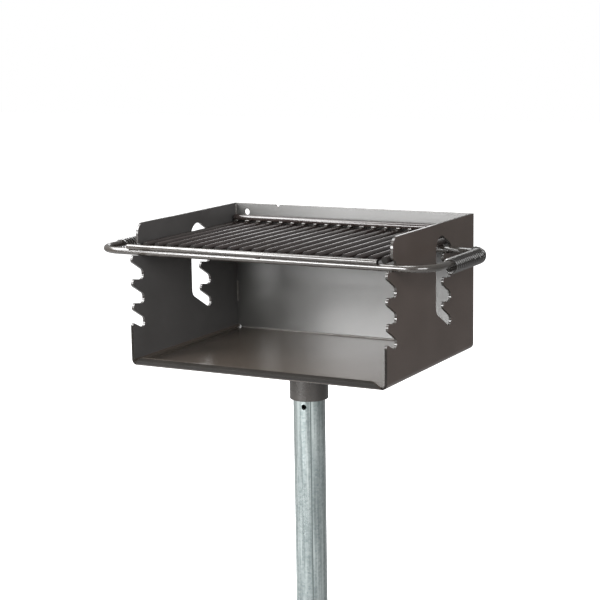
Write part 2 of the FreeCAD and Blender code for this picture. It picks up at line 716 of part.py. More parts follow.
def make_grip(label, leg, inward):
    """A coil of spring wire round the loop's side leg and on round its rear corner."""
    quarters = int(size["grip_turns"]) * 4
    marks = [grip_point(n * math.pi / 2, leg, inward) for n in range(quarters + 1)]
    edges = []
    for (start, start_way), (end, end_way) in zip(marks, marks[1:]):
        edges += joined_arcs(start, start_way, end, end_way)
    wire = Part.Wire(edges)
    point, way = marks[0]
    ring = Part.Wire(Part.makeCircle(size["grip_wire"] / 2, point, way))
    coil = wire.makePipeShell([ring], True, False)
    expected = math.pi * size["grip_wire"] ** 2 / 4 * wire.Length
    steps = 24
    line_points = [grip_point(n * 2 * math.pi / steps, leg, inward)[0]
                   for n in range(int(size["grip_turns"]) * steps + 1)]
    least = min((a - b).Length for i, a in enumerate(line_points)
                for b in line_points[i + steps // 2:i + 2 * steps])
    print("%s: wire %.1f mm long, volume %.0f of %.0f mm3, least gap to itself %.2f mm"
          % (label, wire.Length, coil.Volume, expected, least - size["grip_wire"]))
    grip = doc.addObject("Part::Feature", label)
    grip.Shape = coil
    in_firebox(grip)
    keep(grip, label)


make_post()
make_collar()
make_firebox_shell()
make_back_panel()
make_seam_welds()
make_handle_loop()
make_grate_rods()
make_grate_welds()
left_leg, right_leg = loop_legs()
make_grip("coil_grip_left", left_leg, 1)
make_grip("coil_grip_right", right_leg, -1)
doc.recompute()

for thing in doc.Objects:
    if "Invalid" in thing.State or "Error" in thing.State:
        raise RuntimeError("%s did not rebuild: %s" % (thing.Label, thing.State))

os.makedirs("parts", exist_ok=True)
for thing in written:
    shape = thing.Shape
    if shape.isNull() or not shape.isValid() or not shape.Solids:
        raise RuntimeError(thing.Label + " is not a valid solid")
    shape.exportStep("parts/%s.step" % thing.Label)
    print("%-18s %2d solids, %8.0f mm3" % (thing.Label, len(shape.Solids), shape.Volume))
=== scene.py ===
import math
import random
import bpy
from mathutils import Matrix, Vector


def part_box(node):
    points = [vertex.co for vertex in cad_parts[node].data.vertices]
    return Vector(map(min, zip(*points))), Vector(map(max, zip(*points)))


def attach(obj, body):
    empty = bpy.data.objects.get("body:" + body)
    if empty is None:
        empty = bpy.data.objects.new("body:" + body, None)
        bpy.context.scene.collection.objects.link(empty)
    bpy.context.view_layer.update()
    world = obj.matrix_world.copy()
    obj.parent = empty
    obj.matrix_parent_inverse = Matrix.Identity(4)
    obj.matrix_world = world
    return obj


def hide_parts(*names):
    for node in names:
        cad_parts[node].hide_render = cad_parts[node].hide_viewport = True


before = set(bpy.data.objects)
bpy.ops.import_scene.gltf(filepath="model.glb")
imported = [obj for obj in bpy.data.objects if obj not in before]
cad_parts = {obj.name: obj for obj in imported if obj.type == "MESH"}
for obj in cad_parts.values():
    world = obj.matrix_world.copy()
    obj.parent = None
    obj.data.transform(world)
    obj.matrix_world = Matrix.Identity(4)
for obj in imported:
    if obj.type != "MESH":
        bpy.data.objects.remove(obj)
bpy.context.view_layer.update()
mm = 0.001
random.seed(7)
print("frame loaded")


# Small helpers for picking pieces and finishing them.

mergeRules = {"near": 0.002 * mm, "flatWithin": math.radians(0.6)}
easeRules = {"from": math.radians(30), "segments": 2, "smooth": 40, "weight": 90}


def pick(*pieces):
    if bpy.context.object and bpy.context.object.mode != "OBJECT":
        bpy.ops.object.mode_set(mode="OBJECT")
    bpy.ops.object.select_all(action="DESELECT")
    for piece in pieces:
        piece.select_set(True)
    bpy.context.view_layer.objects.active = pieces[0]


def newest(name):
    piece = bpy.context.object
    piece.name = name
    piece.data.name = name
    return piece


def applyPlace(piece):
    pick(piece)
    bpy.ops.object.transform_apply(location=True, rotation=True, scale=True)


def modify(piece, kind, **settings):  # adds a modifier and applies it
    pick(piece)
    modifier = piece.modifiers.new(kind.title(), kind)
    for key, value in settings.items():
        setattr(modifier, key, value)
    bpy.ops.object.modifier_apply(modifier=modifier.name)


def smooth(piece, degrees):
    pick(piece)
    bpy.ops.object.shade_smooth_by_angle(angle=math.radians(degrees))


def paintWith(piece, *materials):
    piece.data.materials.clear()
    for material in materials:
        piece.data.materials.append(material)


def finishPiece(piece, body, slotName, *nodes):
    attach(piece, body)
    if nodes:
        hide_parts(*nodes)


# The CAD node's shape again, with its loose triangles joined into whole faces.
def mergedCopy(nodeName, name):
    piece = bpy.data.objects.new(name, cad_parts[nodeName].data.copy())
    piece.data.name = name
    bpy.context.collection.objects.link(piece)
    pick(piece)
    bpy.ops.object.mode_set(mode="EDIT")
    bpy.ops.mesh.select_all(action="SELECT")
    bpy.ops.mesh.remove_doubles(threshold=mergeRules["near"])
    bpy.ops.mesh.dissolve_limited(angle_limit=mergeRules["flatWithin"])
    bpy.ops.object.mode_set(mode="OBJECT")
    return piece


def easeEdges(piece, width):  # rounds sharp edges, keeps flats flat
    modify(piece, "BEVEL", width=width, segments=easeRules["segments"], limit_method="ANGLE",
           angle_limit=easeRules["from"], use_clamp_overlap=True, miter_outer="MITER_ARC")
    smooth(piece, easeRules["smooth"])
    modify(piece, "WEIGHTED_NORMAL", keep_sharp=True, weight=easeRules["weight"])


def selectWhere(piece, kind, test):  # ends in edit mode
    pick(piece)
    bpy.ops.object.mode_set(mode="EDIT")
    bpy.ops.mesh.select_mode(type=kind)
    bpy.ops.mesh.select_all(action="DESELECT")
    bpy.ops.object.mode_set(mode="OBJECT")
    items = {"VERT": piece.data.vertices, "FACE": piece.data.polygons}
    for item in items[kind]:
        item.select = test(item)
    bpy.ops.object.mode_set(mode="EDIT")


# Finishes. All their patterns lie on object coordinates, so they stay with their pieces.

def startMaterial(name):
    material = bpy.data.materials.new(name)
    material.use_nodes = True
    tree = material.node_tree
    shader = tree.nodes["Principled BSDF"]
    coords = tree.nodes.new("ShaderNodeTexCoord")
    return material, tree, shader, coords.outputs["Object"]


def addNoise(tree, vector, scale, detail, stretch=None):
    if stretch:
        mapping = tree.nodes.new("ShaderNodeMapping")
        mapping.inputs["Scale"].default_value = stretch
        tree.links.new(vector, mapping.inputs["Vector"])
        vector = mapping.outputs["Vector"]
    noise = tree.nodes.new("ShaderNodeTexNoise")
    noise.inputs["Scale"].default_value = scale
    noise.inputs["Detail"].default_value = detail
    tree.links.new(vector, noise.inputs["Vector"])
    return noise.outputs["Fac"]


def addMath(tree, operation, *values, kind="ShaderNodeMath"):  # each a number or a socket
    node = tree.nodes.new(kind)
    node.operation = operation
    for socket, value in zip(node.inputs, values):
        if isinstance(value, bpy.types.NodeSocket):
            tree.links.new(value, socket)
        else:
            socket.default_value = value
    return node.outputs[0]


def splitPlace(tree, place):
    node = tree.nodes.new("ShaderNodeSeparateXYZ")
    tree.links.new(place, node.inputs[0])
    return node.outputs


def spread(tree, value, low, high, start=0.3, end=0.7):  # a noise's middle range, widened
    node = tree.nodes.new("ShaderNodeMapRange")
    node.inputs["From Min"].default_value = start
    node.inputs["From Max"].default_value = end
    node.inputs["To Min"].default_value = low
    node.inputs["To Max"].default_value = high
    tree.links.new(value, node.inputs["Value"])
    return node.outputs["Result"]


def blendColours(tree, factor, first, second):
    mix = tree.nodes.new("ShaderNodeMix")
    mix.data_type = "RGBA"
    tree.links.new(factor, mix.inputs["Factor"])
    for socket, colour in ((mix.inputs[6], first), (mix.inputs[7], second)):
        if isinstance(colour, tuple):
            socket.default_value = (*colour, 1.0)
        else:
            tree.links.new(colour, socket)
    return mix.outputs[2]


def addBump(tree, height, distance, under=None):
    bump = tree.nodes.new("ShaderNodeBump")
    bump.inputs["Distance"].default_value = distance
    bump.inputs["Strength"].default_value = 1.0
    tree.links.new(height, bump.inputs["Height"])
    if under:
        tree.links.new(under, bump.inputs["Normal"])
    return bump.outputs["Normal"]


paintGrain = {
    "patchDetail": 4.0, "speckDetail": 2.0, "speckRange": (0.62, 0.78), "waveDetail": 1.0,
    "peelDetail": 2.0,
}


# Black heat-proof paint: uneven gloss and a fine orange peel over slightly wavy metal, and where
# a look asks for it, a painted shadow band.
def makePaint(name, look):
    material, tree, shader, place = startMaterial(name)
    patches = addNoise(tree, place, look["patchScale"], paintGrain["patchDetail"])
    specks = addNoise(tree, place, look["speckScale"], paintGrain["speckDetail"])
    tone = blendColours(tree, spread(tree, patches, 0.0, 1.0), look["dark"], look["light"])
    speckled = spread(tree, specks, 0.0, look["speckAmount"], *paintGrain["speckRange"])
    tone = blendColours(tree, speckled, tone, look["speckColour"])
    rough = spread(tree, patches, *look["gloss"])
    if "paintedShadow" in look:  # painted shadow of the grate: a dark, duller band between two heights, soft below and sharper above
        height = splitPlace(tree, place)["Z"]
        low, full, top = look["paintedShadow"]
        rising = spread(tree, height, 0.0, 1.0, low, full)
        under = spread(tree, height, 1.0, look["paintedShadowAbove"], top, top + look["paintedShadowEdge"])
        shadowBand = addMath(tree, "MULTIPLY", rising, under)
        tone = blendColours(tree, shadowBand, tone, look["paintedShadowColour"])
        rough = addMath(tree, "MULTIPLY_ADD", shadowBand, look["paintedShadowDulls"], rough)
    tree.links.new(tone, shader.inputs["Base Color"])
    tree.links.new(rough, shader.inputs["Roughness"])
    wave = addNoise(tree, place, look["waveScale"], paintGrain["waveDetail"])
    peel = addNoise(tree, place, look["peelScale"], paintGrain["peelDetail"],
                    look.get("peelStretch"))
    bumps = addBump(tree, peel, look["peelDepth"], addBump(tree, wave, look["waveDepth"]))
    tree.links.new(bumps, shader.inputs["Normal"])
    shader.inputs["Specular IOR Level"].default_value = look["shine"]
    shader.inputs["IOR"].default_value = look["mirror"]
    return material


# Zinc on a welded pipe: small crystals, dull patches, stripes and runs, and the pipe's seam.
def makeGalvanised(name, look):
    material, tree, shader, place = startMaterial(name)
    wander = addNoise(tree, place, look["wanderScale"], look["detail"])
    shifted = addMath(tree, "MULTIPLY_ADD", wander, (look["wanderDepth"],) * 3, place,
                      kind="ShaderNodeVectorMath")
    crystals = tree.nodes.new("ShaderNodeTexVoronoi")
    crystals.inputs["Scale"].default_value = look["crystalScale"]
    tree.links.new(shifted, crystals.inputs["Vector"])
    grey = tree.nodes.new("ShaderNodeSeparateColor")
    tree.links.new(crystals.outputs["Color"], grey.inputs["Color"])
    patches = addNoise(tree, place, look["patchScale"], look["patchDetail"], look["patchStretch"])
    stripes = addNoise(tree, place, look["stripeScale"], look["detail"], look["stripeStretch"])
    across = splitPlace(tree, place)
    angle = addMath(tree, "ARCTAN2", across["Y"], across["X"])
    seam = addMath(tree, "COMPARE", angle, look["seamAngle"], look["seamHalf"])

    most = look["stripeAmount"]
    tone = blendColours(tree, grey.outputs["Red"], look["dark"], look["light"])
    dulled = spread(tree, patches, 0.0, look["dullAmount"], *look["dullRange"])
    tone = blendColours(tree, dulled, tone, look["dull"])
    pale = spread(tree, stripes, 0.0, most, *look["stripeRange"])
    tone = blendColours(tree, pale, tone, look["stripe"])
    lined = spread(tree, stripes, most, 0.0, *look["lineRange"])
    tone = blendColours(tree, lined, tone, look["line"])
    tone = blendColours(tree, seam, tone, look["line"])
    tree.links.new(tone, shader.inputs["Base Color"])

    uneven = look["crystalGloss"]
    rough = addMath(tree, "ADD", spread(tree, patches, *look["gloss"]),
                    spread(tree, grey.outputs["Green"], -uneven, uneven, 0.0, 1.0))
    tree.links.new(rough, shader.inputs["Roughness"])
    runs = addNoise(tree, place, look["runScale"], look["detail"], look["runStretch"])
    tree.links.new(addBump(tree, runs, look["runDepth"]), shader.inputs["Normal"])
    shader.inputs["Metallic"].default_value = look["metal"]
    return material


sheetLook = {
    "dark": (0.054, 0.040, 0.033), "light": (0.074, 0.057, 0.049),
    "speckColour": (0.10, 0.085, 0.073), "speckAmount": 0.35, "speckScale": 420.0,
    "patchScale": 9.0, "gloss": (0.30, 0.38), "shine": 0.5, "mirror": 1.5,
    "waveScale": 5.0, "waveDepth": 0.0003, "peelScale": 700.0, "peelDepth": 0.00002,
}
# The plates' inside faces: a lighter, greyer copy of the sheet paint, painted light inside the
# box.
wallLitLook = dict(sheetLook, dark=(0.060, 0.058, 0.057), light=(0.080, 0.077, 0.076))
backLook = dict(  # painted shadow of the grate on the back plate: the heights where it starts, is full and ends
    sheetLook, dark=(0.056, 0.055, 0.052), light=(0.074, 0.073, 0.069), gloss=(0.28, 0.33),
    shine=1.0, paintedShadow=(0.715, 0.790, 0.830), paintedShadowEdge=4 * mm, paintedShadowColour=(0.012, 0.011, 0.010),
    paintedShadowDulls=0.35, paintedShadowAbove=0.3)
trayLook = dict(sheetLook, dark=(0.052, 0.042, 0.034), light=(0.064, 0.053, 0.044),
                gloss=(0.22, 0.26), shine=0.65, speckAmount=0.15)
# The lip's front face: a much darker copy of the sheet paint, painted shade.
lipShadeLook = dict(sheetLook, dark=(0.010, 0.009, 0.008), light=(0.016, 0.014, 0.012),
               gloss=(0.12, 0.18), shine=0.35, speckAmount=0.1)
collarLook = dict(sheetLook, dark=(0.026, 0.022, 0.019), light=(0.038, 0.032, 0.028),
                  gloss=(0.22, 0.30), shine=1.0)
seamLook = dict(sheetLook, dark=(0.070, 0.062, 0.055), light=(0.120, 0.110, 0.100),
                speckAmount=0.8, patchScale=90.0, gloss=(0.30, 0.40), shine=1.0)
edgeLook = dict(sheetLook, dark=(0.026, 0.024, 0.022), light=(0.038, 0.034, 0.031),
                gloss=(0.10, 0.16), peelScale=1.0, peelDepth=0.00008,
                peelStretch=(60.0, 900.0, 900.0), shine=0.6)
rodLook = {
    "dark": (0.017, 0.012, 0.011), "light": (0.026, 0.020, 0.018),
    "speckColour": (0.10, 0.09, 0.08), "speckAmount": 0.25, "speckScale": 600.0,
    "patchScale": 30.0, "gloss": (0.14, 0.20), "shine": 0.6, "mirror": 1.5,
    "waveScale": 60.0, "waveDepth": 0.0003, "peelScale": 900.0, "peelDepth": 0.00003,
}
frameLook = dict(rodLook, dark=(0.030, 0.026, 0.023), light=(0.044, 0.039, 0.034),
                 gloss=(0.16, 0.20), waveDepth=0.0001, shine=1.0)
springLook = dict(rodLook, dark=(0.012, 0.011, 0.010), light=(0.018, 0.016, 0.014),
                  gloss=(0.12, 0.18), waveDepth=0.0, shine=1.0, mirror=1.65)
# The rods' end faces: a near-black, dull copy of the rod paint; the near-black is painted shade.
endShadeLook = dict(rodLook, dark=(0.006, 0.005, 0.005), light=(0.010, 0.009, 0.008),
               gloss=(0.55, 0.65), speckAmount=0.0, shine=0.1)
beadLook = dict(rodLook, gloss=(0.40, 0.50), waveScale=260.0, waveDepth=0.0004, shine=0.25)
zincLook = {
    "dark": (0.28, 0.33, 0.33), "light": (0.42, 0.47, 0.47), "detail": 3.0,
    "crystalScale": 260.0, "crystalGloss": 0.04, "wanderScale": 90.0, "wanderDepth": 0.004,
    "patchScale": 12.0, "patchStretch": (1.0, 1.0, 0.35), "patchDetail": 5.0,
    "dull": (0.36, 0.40, 0.39), "dullAmount": 0.7, "dullRange": (0.45, 0.75),
    "gloss": (0.28, 0.48), "metal": 0.85,
    "runScale": 60.0, "runStretch": (1.0, 1.0, 0.2), "runDepth": 0.0003,
    "stripeScale": 170.0, "stripeStretch": (1.0, 1.0, 0.03), "stripeAmount": 0.55,
    "stripe": (0.62, 0.68, 0.67), "stripeRange": (0.5, 0.62),
    "line": (0.17, 0.20, 0.20), "lineRange": (0.36, 0.46),
    "seamAngle": math.radians(-58.0), "seamHalf": math.radians(2.2),
}
sheetPaint = makePaint("sheetPaint", sheetLook)
wallLitPaint = makePaint("wallLitPaint", wallLitLook)
backPaint = makePaint("backPaint", backLook)
trayPaint = makePaint("trayPaint", trayLook)
lipShadePaint = makePaint("lipShadePaint", lipShadeLook)
collarPaint = makePaint("collarPaint", collarLook)
seamPaint = makePaint("seamPaint", seamLook)
cutEdgePaint = makePaint("cutEdgePaint", edgeLook)
rodPaint = makePaint("rodPaint", rodLook)
framePaint = makePaint("framePaint", frameLook)
rodEndShadePaint = makePaint("rodEndShadePaint", endShadeLook)
springPaint = makePaint("springPaint", springLook)
beadPaint = makePaint("beadPaint", beadLook)
zinc = makeGalvanised("zinc", zincLook)
print("finishes made")


# Firebox: bent sheet, back plate, collar.

fireboxSheet = {
    "ease": 0.5 * mm, "bendTop": 13 * mm, "plateNear": 0.1 * mm,
    "cutFace": 0.25, "trayFace": 0.2, "lipFace": 0.7,  # how far a face's normal turns
}
insideHalf = (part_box("back_panel")[1].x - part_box("back_panel")[0].x) / 2
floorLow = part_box("firebox_shell")[0].z


def makeFireboxSheet():
    sheet = mergedCopy("firebox_shell", "fireboxSheet")
    easeEdges(sheet, fireboxSheet["ease"])
    paintWith(sheet, sheetPaint, cutEdgePaint, wallLitPaint, trayPaint, lipShadePaint)
    plateFrom = insideHalf - fireboxSheet["plateNear"]
    lowest = floorLow + fireboxSheet["bendTop"]
    for face in sheet.data.polygons:  # the plates' cut edges, their insides with painted light, the tray, and the lip with painted shade
        onPlate = abs(face.center.x) > plateFrom and face.center.z > lowest
        inwards = face.normal.x * face.center.x < 0
        if onPlate and abs(face.normal.x) < fireboxSheet["cutFace"]:
            face.material_index = 1
        elif onPlate and inwards:
            face.material_index = 2
        elif not onPlate and face.normal.z > fireboxSheet["trayFace"]:
            face.material_index = 3
        elif not onPlate and face.normal.y < -fireboxSheet["lipFace"]:
            face.material_index = 4
    finishPiece(sheet, "firebox", "painted_sheet", "firebox_shell")


def makeBackPlate():
    plate = mergedCopy("back_panel", "backPlate")
    easeEdges(plate, fireboxSheet["ease"])
    paintWith(plate, sheetPaint, backPaint)
    for face in plate.data.polygons:
        face.material_index = int(face.normal.y < -fireboxSheet["cutFace"])
    finishPiece(plate, "firebox", "painted_sheet", "back_panel")


collarShape = {"ease": 0.8 * mm, "longer": 5 * mm, "lowEnd": 1 * mm}


def makeCollar():
    collar = mergedCopy("collar", "swivelCollar")
    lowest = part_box("collar")[0].z
    for point in collar.data.vertices:  # the photograph's collar reaches a little further down
        if point.co.z < lowest + collarShape["lowEnd"]:
            point.co.z -= collarShape["longer"]
    easeEdges(collar, collarShape["ease"])
    paintWith(collar, collarPaint)
    finishPiece(collar, "firebox", "painted_sheet", "collar")


makeFireboxSheet()
makeBackPlate()
makeCollar()
print("firebox made")


# Post: galvanised pipe with a drilled hole.

postShape = {"ease": 0.6 * mm}


def makePost():
    post = mergedCopy("post", "galvanisedPost")
    easeEdges(post, postShape["ease"])
    paintWith(post, zinc)
    finishPiece(post, "post", "galvanised_pipe", "post")


makePost()
print("post made")


# Weld beads: rows of flattened drops, melted into one skin.

beadSkin = {"segments": 12, "rings": 8, "voxel": 0.5 * mm, "smooth": 70}


def meltBead(name, drops, finish):  # a drop is its place, its three radii and its turn
    parts = []
    for place, radii, turn in drops:
        bpy.ops.mesh.primitive_uv_sphere_add(segments=beadSkin["segments"],
                                             ring_count=beadSkin["rings"], radius=1.0,
                                             location=place, rotation=turn)
        bpy.context.object.scale = radii
        parts.append(bpy.context.object)
    pick(*parts)
    bpy.ops.object.join()
    bead = newest(name)
    applyPlace(bead)
    bead.data.remesh_voxel_size = beadSkin["voxel"]
    bpy.ops.object.voxel_remesh()
    smooth(bead, beadSkin["smooth"])
    paintWith(bead, finish)
    return bead


def unevenRadii(radii, amount):
    return [radius * (1.0 + random.uniform(-amount, amount)) for radius in radii]


seamBead = {
    "step": 2.2 * mm, "drop": (1.7 * mm, 2.2 * mm, 2.2 * mm), "uneven": 0.08, "sink": 0.6 * mm,
    "sideGap": 14 * mm, "stitchLength": 38.1 * mm, "stitchBottoms": (60 * mm, 216 * mm),
}


def rowOfDrops(start, end):  # a drop's first radius lies along the row
    run = end - start
    count = round(run.length / seamBead["step"])
    turn = run.to_track_quat("X", "Z").to_euler()
    drops = []
    for index in range(count + 1):
        radii = unevenRadii(seamBead["drop"], seamBead["uneven"])
        drops.append((start + run * (index / count), radii, turn))
    return drops


def makeSeamBeads():  # along the back plate's foot, then two stitches up each side
    low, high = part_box("back_seam_welds")
    back, inset = high.y, seamBead["sink"]
    floorTop = low.z
    floorHalf = insideHalf - seamBead["sideGap"]
    drops = rowOfDrops(Vector((-floorHalf, back - inset, floorTop + inset)),
                       Vector((floorHalf, back - inset, floorTop + inset)))
    for side in (-1, 1):
        for bottom in seamBead["stitchBottoms"]:
            first = Vector((side * (insideHalf - inset), back - inset, floorLow + bottom))
            last = first + Vector((0, 0, seamBead["stitchLength"]))
            drops += rowOfDrops(first, last)
    bead = meltBead("backSeamBeads", drops, seamPaint)
    finishPiece(bead, "firebox", "painted_sheet", "back_seam_welds")


collarBead = {
    "drops": 64, "drop": (2.6 * mm, 3.8 * mm, 3.8 * mm), "uneven": 0.08,
    "outside": 0.8 * mm, "under": 1.92 * mm,
}


def makeCollarBead():
    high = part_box("collar_weld")[1].z
    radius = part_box("collar")[1].x + collarBead["outside"]
    drops = []
    for index in range(collarBead["drops"]):
        angle = index * 2 * math.pi / collarBead["drops"]
        radii = unevenRadii(collarBead["drop"], collarBead["uneven"])
        place = (radius * math.cos(angle), radius * math.sin(angle), high - collarBead["under"])
        drops.append((place, radii, (0, 0, angle + math.pi / 2)))
    bead = meltBead("collarBead", drops, beadPaint)
    finishPiece(bead, "firebox", "painted_sheet", "collar_weld")


makeSeamBeads()
makeCollarBead()
print("firebox beads made")


# Grate: handle loop, stop rod, cooking rods and rear bar.

grateRods = {
    "sides": 40, "endEase": 0.9 * mm, "endSegments": 3, "easeFrom": math.radians(50),
    "smooth": 40, "endFace": 0.5, "count": 19, "pitch": 25.4 * mm,
}
loopShape = {
    "frontBend": 50 * mm, "rearBend": 30 * mm, "bendSteps": 16, "roundness": 7,
    "cornerFrom": 100 * mm, "smooth": 50,
}


def makeRod(name, node, finish, further=(0, 0)):  # further shifts the CAD rod's two ends in X
    low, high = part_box(node)
    low.x, high.x = low.x + further[0], high.x + further[1]
    size = high - low
    length = max(size)
    along = list(size).index(length)
    turn = ((0, math.pi / 2, 0), (math.pi / 2, 0, 0))[along]
    bpy.ops.mesh.primitive_cylinder_add(vertices=grateRods["sides"], radius=min(size) / 2,
                                        depth=length, location=(low + high) / 2, rotation=turn)
    rod = newest(name)
    applyPlace(rod)
    modify(rod, "BEVEL", width=grateRods["endEase"], segments=grateRods["endSegments"],
           limit_method="ANGLE", angle_limit=grateRods["easeFrom"])
    smooth(rod, grateRods["smooth"])
    paintWith(rod, finish, rodEndShadePaint)
    for face in rod.data.polygons:  # the ends stay dull, and their near-black colour is painted shade
        face.material_index = int(abs(face.normal[along]) > grateRods["endFace"])
    nodes = [] if further[0] else [node]  # a rod moved aside stands beside its node
    finishPiece(rod, "grate", "painted_rod", *nodes)


def makeHandleRod():  # a flat outline with rounded corners, then given its thickness
    low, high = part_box("handle_loop")
    radius = (high.z - low.z) / 2
    middle = (low + high) / 2
    bpy.ops.mesh.primitive_plane_add(size=1, location=middle)
    loop = newest("handleRod")
    loop.scale = (high.x - low.x - 2 * radius, high.y - low.y - 2 * radius, 1)
    applyPlace(loop)
    selectWhere(loop, "FACE", lambda face: True)
    bpy.ops.mesh.delete(type="ONLY_FACE")
    for bend, side in (("frontBend", -1), ("rearBend", 1)):
        selectWhere(loop, "VERT",
                    lambda corner: (corner.co.y - middle.y) * side > loopShape["cornerFrom"])
        bpy.ops.mesh.bevel(offset=loopShape[bend], segments=loopShape["bendSteps"],
                           affect="VERTICES")
    pick(loop)
    bpy.ops.object.convert(target="CURVE")
    loop = bpy.context.object
    loop.data.bevel_depth = radius
    loop.data.bevel_resolution = loopShape["roundness"]
    bpy.ops.object.convert(target="MESH")
    loop = newest("handleRod")
    smooth(loop, loopShape["smooth"])
    paintWith(loop, framePaint)
    finishPiece(loop, "grate", "painted_rod", "handle_loop")


makeHandleRod()
makeRod("stopRod", "stop_rod", framePaint)
makeRod("rearBar", "rear_bar", rodPaint, (0, grateRods["pitch"]))
for number in range(1, grateRods["count"] + 1):
    makeRod("cookingRod%02d" % number, "cooking_rod_%02d" % number, rodPaint)
# The photograph has one rod more, beside the right plate, and the longer rear bar reaches it.
makeRod("cookingRod20", "cooking_rod_19", rodPaint, (grateRods["pitch"], grateRods["pitch"]))
print("grate rods made")


grateBeads = {
    "front": (3.2 * mm, 1.8 * mm, 1.3 * mm), "frontAhead": 0.6 * mm, "frontUnder": 1.2 * mm,
    "rear": (3.6 * mm, 2.2 * mm, 1.9 * mm), "rearAside": 4.4 * mm, "rearOver": 1.3 * mm,
    "leg": (3.6 * mm, 2.2 * mm, 2.0 * mm), "legAside": 5.3 * mm, "legUnder": 1.4 * mm,
    "pair": (-0.45, 0.4),  # of a drop's first radius
    "uneven": 0.15, "wobble": 0.8 * mm, "turn": 0.2,
    "tack": (3.0 * mm, 1.7 * mm, 2.4 * mm), "tackPlaces": (-5.8 * mm, -2.2 * mm),
    "tackBehind": 4.4 * mm, "tackUnder": 0.9 * mm,
    "loopJoint": (1.6 * mm, 7.3 * mm, 7.3 * mm), "loopShifts": (-1.2 * mm, 0, 1.2 * mm),
}


def beadAt(x, y, z, radii):  # two drops side by side, never twice the same
    wobble, most = grateBeads["wobble"], grateBeads["turn"]
    drops = []
    for shift in grateBeads["pair"]:
        size = unevenRadii(radii, grateBeads["uneven"])
        place = (x + shift * radii[0] + random.uniform(-wobble, wobble), y, z)
        drops.append((place, size, (0, 0, random.uniform(-most, most))))
    return drops


def makeGrateBeads():  # where the rods meet the stop rod, the rear bar and the loop's leg
    stopLow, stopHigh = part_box("stop_rod")
    barLow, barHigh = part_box("rear_bar")
    barMiddle = (barLow + barHigh) / 2
    legLow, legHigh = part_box("handle_loop")
    legRadius = (legHigh.z - legLow.z) / 2
    legBack = legHigh.y - legRadius
    low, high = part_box("cooking_rod_01")
    front, rear, leg = [], [], []
    for number in range(grateRods["count"] + 1):
        x = (low.x + high.x) / 2 + number * grateRods["pitch"]
        if x < stopHigh.x:
            front += beadAt(x, low.y - grateBeads["frontAhead"],
                            stopHigh.z - grateBeads["frontUnder"], grateBeads["front"])
        for side in (-1, 1):
            rear += beadAt(x, barMiddle.y + side * grateBeads["rearAside"],
                           high.z + grateBeads["rearOver"], grateBeads["rear"])
            leg += beadAt(x, legBack + side * grateBeads["legAside"],
                          low.z - grateBeads["legUnder"], grateBeads["leg"])
    for x in grateBeads["tackPlaces"]:
        place = (x, stopLow.y + grateBeads["tackBehind"], stopLow.z - grateBeads["tackUnder"])
        front.append((place, grateBeads["tack"], (0, 0, 0)))
    for name, node, drops, finish in (("stopRodBeads", "stop_rod_welds", front, beadPaint),
                                      ("rearBarBeads", "rear_bar_welds", rear, framePaint),
                                      ("rearLegBeads", "rear_leg_welds", leg, beadPaint)):
        finishPiece(meltBead(name, drops, finish), "grate", "painted_rod", node)


def makeLoopBead():
    low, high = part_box("loop_weld")
    middle = (low + high) / 2
    drops = [(middle + Vector((shift, 0, 0)), grateBeads["loopJoint"], (0, 0, 0))
             for shift in grateBeads["loopShifts"]]
    bead = meltBead("loopBead", drops, beadPaint)
    finishPiece(bead, "grate", "painted_rod", "loop_weld")


makeGrateBeads()
makeLoopBead()
print("grate beads made")


# Coil grips: a straight spring wound by the screw modifier, then bent along the loop's side leg.

coilGrip = {
    "outside": 28.575 * mm, "wire": 3.175 * mm, "turns": 19, "length": 162 * mm,
    "wireSides": 14, "turnSteps": 36, "hang": 4.7125 * mm, "smooth": 60,
    "pathSteps": 48, "reach": 20 * mm, "arcReach": 0.5523,  # of a bend's radius
}


def makeGripPath(name, start, side):  # along the leg, then round the loop's rear bend
    low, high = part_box("handle_loop")
    rodRadius = (high.z - low.z) / 2
    leg = (low.x + rodRadius) if side < 0 else (high.x - rodRadius)
    rear = high.y - rodRadius
    height = (low.z + high.z) / 2 - coilGrip["hang"]
    bend, reach = loopShape["rearBend"], coilGrip["reach"]
    path = bpy.data.curves.new(name, "CURVE")
    path.dimensions = "3D"
    path.twist_mode = "Z_UP"
    line = path.splines.new("BEZIER")
    line.bezier_points.add(2)
    line.resolution_u = coilGrip["pathSteps"]
    corners = [Vector((leg, start, height)), Vector((leg, rear - bend, height)),
               Vector((leg - side * bend, rear, height))]
    arcReach = coilGrip["arcReach"] * bend
    ways = [Vector((0, 1, 0)), Vector((0, 1, 0)), Vector((-side, 0, 0))]
    reaches = [(reach, reach), (reach, arcReach), (arcReach, reach)]
    for point, corner, way, (before, after) in zip(line.bezier_points, corners, ways, reaches):
        point.co = corner
        point.handle_left = corner - way * before
        point.handle_right = corner + way * after
    rail = bpy.data.objects.new(name, path)
    bpy.context.collection.objects.link(rail)
    return rail


